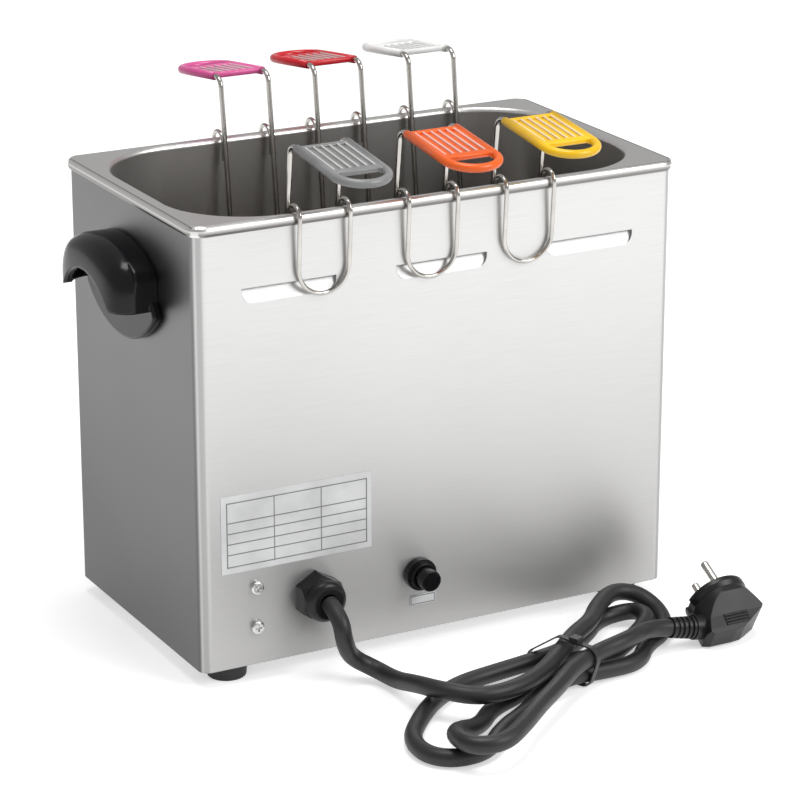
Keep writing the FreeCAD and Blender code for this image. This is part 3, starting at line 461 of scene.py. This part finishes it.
FINISHES = {made.name: made for made in (
    casing_finish(),
    tank_finish(),
    turned("zinc_steel", (0.55, 0.56, 0.57), 0.42),
    turned("screw_steel", (0.66, 0.66, 0.65), 0.26),
    moulded("foot_rubber", (0.02, 0.02, 0.02), 0.6),
    moulded("handle_plastic", (0.006, 0.006, 0.007), 0.20, grain=1400, depth=0.003, edge=1.2,
            Specular_IOR_Level=0.28),
    moulded("gland_plastic", (0.006, 0.006, 0.007), 0.30, Specular_IOR_Level=0.32),
    moulded("cord_rubber", (0.014, 0.014, 0.015), 0.46),
    moulded("tie_plastic", (0.02, 0.02, 0.02), 0.35),
    moulded("plug_rubber", (0.008, 0.008, 0.009), 0.38, Specular_IOR_Level=0.4),
    turned("pin_metal", (0.75, 0.73, 0.70), 0.2),
    moulded("button_plastic", (0.006, 0.006, 0.007), 0.2, grain=1400, depth=0.003,
            Specular_IOR_Level=0.3),
    moulded("control_plastic", (0.10, 0.10, 0.10), 0.5),
    turned("copper_tube", (0.72, 0.42, 0.28), 0.3),
    moulded("knob_plastic", (0.02, 0.02, 0.021), 0.38),
    dial_finish(),
    moulded("rocker_plastic", (0.45, 0.02, 0.015), 0.25, grain=1400, depth=0.004),
    moulded("lamp_green", (0.05, 0.45, 0.12), 0.15, grain=1400, depth=0.003),
    moulded("lamp_amber", (0.85, 0.35, 0.03), 0.15, grain=1400, depth=0.003),
    turned("element_steel", (0.35, 0.34, 0.33), 0.45),
    turned("spreader_aluminium", (0.70, 0.70, 0.70), 0.45),
    moulded("terminal_plastic", (0.80, 0.79, 0.74), 0.45),
    turned("earth_brass", (0.70, 0.55, 0.28), 0.3),
    label_finish(),
    moulded("wire_insulation", (0.55, 0.30, 0.12), 0.4),
    turned("basket_wire", (0.56, 0.54, 0.51), 0.14, scale=900, edge=0),
    grip_finish("grip_grey", (0.23, 0.23, 0.23)),
    grip_finish("grip_orange", (0.82, 0.115, 0.006)),
    grip_finish("grip_yellow", (0.85, 0.50, 0.003)),
    grip_finish("grip_pink", (0.70, 0.10, 0.32)),
    grip_finish("grip_red", (0.60, 0.01, 0.02)),
    grip_finish("grip_white", (0.80, 0.80, 0.79)),
)}


def dress(obj, finish):
    """Give one object one finish."""
    obj.data.materials.clear()
    obj.data.materials.append(FINISHES[finish].material)


slot_of = {p["node"]: p["material_slot"] for p in frame["record"]["subparts"]}
for node_name, obj in nodes.items():
    dress(obj, slot_of[node_name])


# Cord

def make_cord():
    """The mains cord: one smooth line with the route's points as its control points."""
    curve = bpy.data.curves.new("mains_cord", "CURVE")
    curve.dimensions = "3D"
    spline = curve.splines.new("NURBS")
    spline.points.add(len(CORD_ROUTE) - 1)
    for point, place in zip(spline.points, CORD_ROUTE):
        point.co = (*[c * MM for c in place], 1.0)
    spline.order_u = 3
    spline.use_endpoint_u = True
    spline.resolution_u = 10
    curve.bevel_depth = CORD_D / 2 * MM
    curve.bevel_resolution = 7
    curve.use_fill_caps = True
    cord = bpy.data.objects.new("mains_cord", curve)
    bpy.context.scene.collection.objects.link(cord)
    dress(cord, "cord_rubber")
    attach(cord, "boiler")
    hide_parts("power_cord")
    return cord


cord = make_cord()


# Pieces drawn as computed surfaces

def shell_faces(rings):
    """Faces of one closed shell, turned so that they look outwards."""
    count, around = rings.shape[:2]
    faces = []
    for i in range(count - 1):
        for k in range(around):
            a = i * around + k
            b = i * around + (k + 1) % around
            faces.append((a, b, b + around, a + around))
    faces.append(tuple(range(around))[::-1])
    faces.append(tuple((count - 1) * around + k for k in range(around)))
    flat = rings.reshape(-1, 3)
    flat = flat - flat.mean(axis=0)
    volume = 0.0
    for face in faces:
        for k in range(1, len(face) - 1):
            volume += np.dot(flat[face[0]], np.cross(flat[face[k]], flat[face[k + 1]]))
    return faces if volume >= 0 else [face[::-1] for face in faces]


def add_piece(name, shells, node_name, finish, rider, painted_highlight=()):
    """One object out of closed shells, each a list of equal rings of points in millimetres."""
    points = []
    faces = []
    painted_highlight_values = []
    for number, rings in enumerate(shells):
        rings = np.asarray(rings, dtype=float) * MM
        base = len(points)
        points.extend(map(tuple, rings.reshape(-1, 3)))
        # Shells named in the last argument get the value that the grip finish paints as a highlight
        painted_highlight_values.extend([PAINTED_HIGHLIGHT_LEVEL if number in painted_highlight else 0.0] * (len(points) - base))
        faces.extend(tuple(base + k for k in face) for face in shell_faces(rings))
    mesh = bpy.data.meshes.new(name)
    mesh.from_pydata(points, [], faces)
    mesh.polygons.foreach_set("use_smooth", [len(p.vertices) == 4 for p in mesh.polygons])
    mesh.attributes.new("painted_highlight", "FLOAT", "POINT").data.foreach_set("value", painted_highlight_values)
    mesh.update()
    obj = bpy.data.objects.new(name, mesh)
    bpy.context.scene.collection.objects.link(obj)
    dress(obj, finish)
    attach(obj, rider)
    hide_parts(node_name)
    return obj


def leg_frame(x, side, rows):
    """Points (across, up, out) turned by LEAN about the rim's line, side +1 for the row at +Y."""
    rows = np.asarray(rows, dtype=float)
    across, up, out = rows[..., 0], rows[..., 1], rows[..., 2]
    y = LEG_Y + up * math.sin(LEAN) + out * math.cos(LEAN)
    z = DECK_Z + up * math.cos(LEAN) - out * math.sin(LEAN)
    return np.stack((x + across, side * y, z), axis=-1)


ACROSS, UP, OUT = np.eye(3)


def bar_rings(start, end, half_wide, half_tall, wide_axis):
    """Bar with a superellipse section |a/w|^3 + |b/h|^3 = 1 and softly closed ends."""
    turn = np.linspace(0, 2 * np.pi, 20, endpoint=False)
    c, s = np.cos(turn), np.sin(turn)
    ring_a = np.sign(c) * np.abs(c) ** (2 / 3) * half_wide
    ring_b = np.sign(s) * np.abs(s) ** (2 / 3) * half_tall
    start, end = np.asarray(start, float), np.asarray(end, float)
    length = np.linalg.norm(end - start)
    stops = list(BAR_END) + [(length - along, size) for along, size in reversed(BAR_END)]
    rings = []
    for along, size in stops:
        centre = start + (end - start) * (along / length)
        rings.append(centre + size * (ring_a[:, None] * wide_axis + ring_b[:, None] * UP))
    return np.array(rings)


def grip_shells():
    """Coated grip: round U-shaped rim, two cross bars, six raised ribs, a web, two side bars."""
    path = [(LEG_HALF * math.cos(a), RIM_BEND + LEG_HALF * math.sin(a))
            for a in np.linspace(0, np.pi, 33)]
    path = np.array([(LEG_HALF, RIM_START)] + path + [(-LEG_HALF, RIM_START)])
    way = np.gradient(path, axis=0)
    way /= np.linalg.norm(way, axis=1)[:, None]
    turn = np.linspace(0, 2 * np.pi, 24, endpoint=False)
    rim = []
    for (px, pout), (wx, wout) in zip(path, way):
        side = np.array([-wout, 0, wx])
        centre = np.array([px, LEG_TOP, pout])
        rim.append(centre + RIM_R * (np.cos(turn)[:, None] * side + np.sin(turn)[:, None] * UP))
    shells = [rim]
    bar_up = LEG_TOP + BAR_LIFT
    for out, half in CROSS_BARS:
        shells.append(bar_rings((-LEG_HALF, bar_up, out), (LEG_HALF, bar_up, out),
                                half, BAR_HALF, OUT))
    for i in range(RIB_COUNT):
        x = RIB_FIRST + RIB_PITCH * i
        start, end = ((x, LEG_TOP + RIB_LIFT, out) for out in RIB_OUT)
        shells.append(bar_rings(start, end, *RIB_HALVES, ACROSS))
    web_up = LEG_TOP - BAR_LIFT
    shells.append(bar_rings((-WEB_X, web_up, WEB_OUT), (WEB_X, web_up, WEB_OUT),
                            *WEB_HALVES, OUT))
    for s in (-1, 1):
        start, end = ((s * SIDE_BAR_X, bar_up, out) for out in SIDE_BAR_OUT)
        shells.append(bar_rings(start, end, SIDE_BAR_HALF, BAR_HALF, ACROSS))
    return shells


for row, side in ((NEAR_X, 1), (FAR_X, -1)):
    for colour, x in row.items():
        add_piece("grip_" + colour, [leg_frame(x, side, shell) for shell in grip_shells()],
                  "basket_grip_" + colour, "grip_" + colour, "basket_" + colour, RIB_SHELLS)


def hood_top(y):
    """Outline z = CROWN_Z + sqrt(CROWN_R^2 - y^2), with shoulders of radius SHOULDER at its ends."""
    y = min(abs(y), HOOD_HALF)
    if y * (CROWN_R - SHOULDER) <= SHOULDER_Y * CROWN_R:
        return CROWN_Z + math.sqrt(CROWN_R ** 2 - y * y)
    return SHOULDER_Z + math.sqrt(max(0.0, SHOULDER ** 2 - (y - SHOULDER_Y) ** 2))


def hood_depth(y, z, shrink):
    """Depth D = HOOD_DEPTH - EDGE_DROP exp(-EDGE_RATE i^EDGE_POWER), i mm inside the outline."""
    radial = CROWN_R - math.hypot(y, z - CROWN_Z)
    end = HOOD_HALF - abs(y)
    blend = max(0.0, EDGE_BLEND - abs(radial - end))
    inside = min(radial, end) - blend ** 2 / (4 * EDGE_BLEND)
    inside = max(0.0, inside - shrink)
    return HOOD_DEPTH - shrink - EDGE_DROP * math.exp(-EDGE_RATE * inside ** EDGE_POWER)


def climb(low, high, w):
    """Height low + (high - low) (1 - (1 - w)^ROW_POWER), so that steps close up at the top."""
    return low + (high - low) * (1 - (1 - w) ** ROW_POWER)


def hood_section(y):
    """One section of the hood, (depth, height): up the front, back to the wall and down inside."""
    foot = HOOD_FOOT
    if abs(y) < ARCH_HALF:
        foot = max(foot, ARCH_CREST - ARCH_R + math.sqrt(ARCH_R ** 2 - y * y))
    top = hood_top(y)
    under = top - HOOD_WALL
    up = [climb(foot, top, w) for w in np.linspace(0, 1, ROW_POINTS)]
    section = [(hood_depth(y, z, 0.0), z) for z in up]
    section += [(depth, top) for depth in (12.0, 8.0, 4.0, WALL_GAP)]
    if abs(y) < HOLLOW_HALF:
        section += [(depth, under) for depth in (WALL_GAP, 6.0, 11.0)]
        down = [climb(foot, under, w) for w in np.linspace(1, 0, ROW_POINTS)]
        return section + [(max(hood_depth(y, z, HOOD_WALL), WALL_GAP), z) for z in down]
    section += [(WALL_GAP, foot + rise) for rise in (8, 4, 1)]
    reach = hood_depth(y, foot, 0.0) - FOOT_STOP
    return section + [(WALL_GAP + reach * (1 - w), foot) for w in np.linspace(1, 0, ROW_POINTS)]


def hood_rings():
    """Sections of the hood along Y, close together where its hollow begins and ends."""
    inner = HOLLOW_HALF - HOLLOW_STEP
    outer = HOLLOW_HALF + HOLLOW_STEP
    stations = np.concatenate((np.linspace(-HOOD_HALF, -outer, 12), np.linspace(-inner, inner, 90),
                               np.linspace(outer, HOOD_HALF, 12)))
    return np.array([[(depth, y + HANDLE_Y, z) for depth, z in hood_section(y)]
                     for y in stations])


def crescent_rings():
    """Plate behind the hood: the lower edge is an arc from tip to tip, its front edge rounded."""
    rise = PLATE_TIP_Z - PLATE_LOW
    radius = (PLATE_HALF * PLATE_HALF + rise * rise) / (2 * rise)
    angle = math.asin(PLATE_HALF / radius)
    bottom = [(radius * math.sin(a), PLATE_LOW + radius - radius * math.cos(a))
              for a in np.linspace(-angle, angle, PLATE_POINTS)]
    side = PLATE_HALF - WALL_GAP
    top = [(y, PLATE_TIP_Z + PLATE_TUCK * min(1.0, (PLATE_HALF - abs(y)) / PLATE_EASE) ** 0.5)
           for y in np.linspace(side, -side, PLATE_POINTS)]
    loop = np.array(bottom + top)
    inwards = np.array([0, PLATE_MIDDLE_Z]) - loop
    rings = []
    for depth, inset in PLATE_LAYERS:
        flat = loop + inwards / np.linalg.norm(inwards, axis=1)[:, None] * inset
        rings.append(np.column_stack((np.full(len(flat), depth), flat[:, 0] + HANDLE_Y,
                                      flat[:, 1])))
    return np.array(rings)


for side, node_name in ((1, "handle_left"), (-1, "handle_right")):
    shells = []
    for rings in (hood_rings(), crescent_rings()):
        rings[..., 0] = side * (CASE_X + rings[..., 0])
        shells.append(rings)
    add_piece("carrying_" + node_name, shells, node_name, "handle_plastic", "boiler")


# Stage: floor, light and camera

def make_floor():
    """Pale floor that takes shadows; it glows a little to the camera and in reflections."""
    half = FLOOR_HALF
    mesh = bpy.data.meshes.new("floor")
    mesh.from_pydata([(-half, -half, 0), (half, -half, 0), (half, half, 0), (-half, half, 0)], [],
                     [(0, 1, 2, 3)])
    floor = bpy.data.objects.new("floor", mesh)
    bpy.context.scene.collection.objects.link(floor)
    material = bpy.data.materials.new("floor")
    material.use_nodes = True
    tree = material.node_tree
    shader = tree.nodes["Principled BSDF"]
    shader.inputs["Base Color"].default_value = (0.80, 0.80, 0.80, 1.0)
    shader.inputs["Roughness"].default_value = 0.9
    shader.inputs["Emission Color"].default_value = (1.0, 1.0, 1.0, 1.0)
    path = tree.nodes.new("ShaderNodeLightPath")
    seen = path.outputs["Is Camera Ray"]
    for ray in ("Is Glossy Ray", "Is Transmission Ray"):
        total = tree.nodes.new("ShaderNodeMath")
        total.operation = "ADD"
        tree.links.new(seen, total.inputs[0])
        tree.links.new(path.outputs[ray], total.inputs[1])
        seen = total.outputs[0]
    strength = tree.nodes.new("ShaderNodeMath")
    strength.operation = "MULTIPLY"
    strength.inputs[1].default_value = FLOOR_GLOW
    tree.links.new(seen, strength.inputs[0])
    tree.links.new(strength.outputs[0], shader.inputs["Emission Strength"])
    mesh.materials.append(material)


def make_world():
    """Even white surroundings."""
    world = bpy.data.worlds.new("studio")
    bpy.context.scene.world = world
    world.use_nodes = True
    background = world.node_tree.nodes["Background"]
    background.inputs["Color"].default_value = (1.0, 1.0, 1.0, 1.0)
    background.inputs["Strength"].default_value = WORLD_GLOW


def add_aimed(name, data, place, target):
    """Put a lamp or a camera at a place, looking at a target."""
    obj = bpy.data.objects.new(name, data)
    obj.location = place
    aim = Vector(target) - obj.location
    obj.rotation_euler = aim.to_track_quat("-Z", "Y").to_euler()
    bpy.context.scene.collection.objects.link(obj)
    return obj


def make_lamps():
    """Soft square lamps, all aimed at one point in the part."""
    for name, place, size, power in LAMPS:
        lamp = bpy.data.lights.new(name, "AREA")
        lamp.size = size
        lamp.energy = power
        add_aimed(name, lamp, place, LAMP_AIM)


def make_camera():
    """The camera of the photograph."""
    camera = bpy.data.cameras.new("camera")
    camera.lens = CAMERA_LENS
    camera.sensor_width = 36.0
    camera.clip_end = 50.0
    bpy.context.scene.camera = add_aimed("camera", camera, CAMERA_AT, CAMERA_AIM)
    bpy.context.scene.view_settings.view_transform = "Standard"


make_floor()
make_world()
make_lamps()
make_camera()
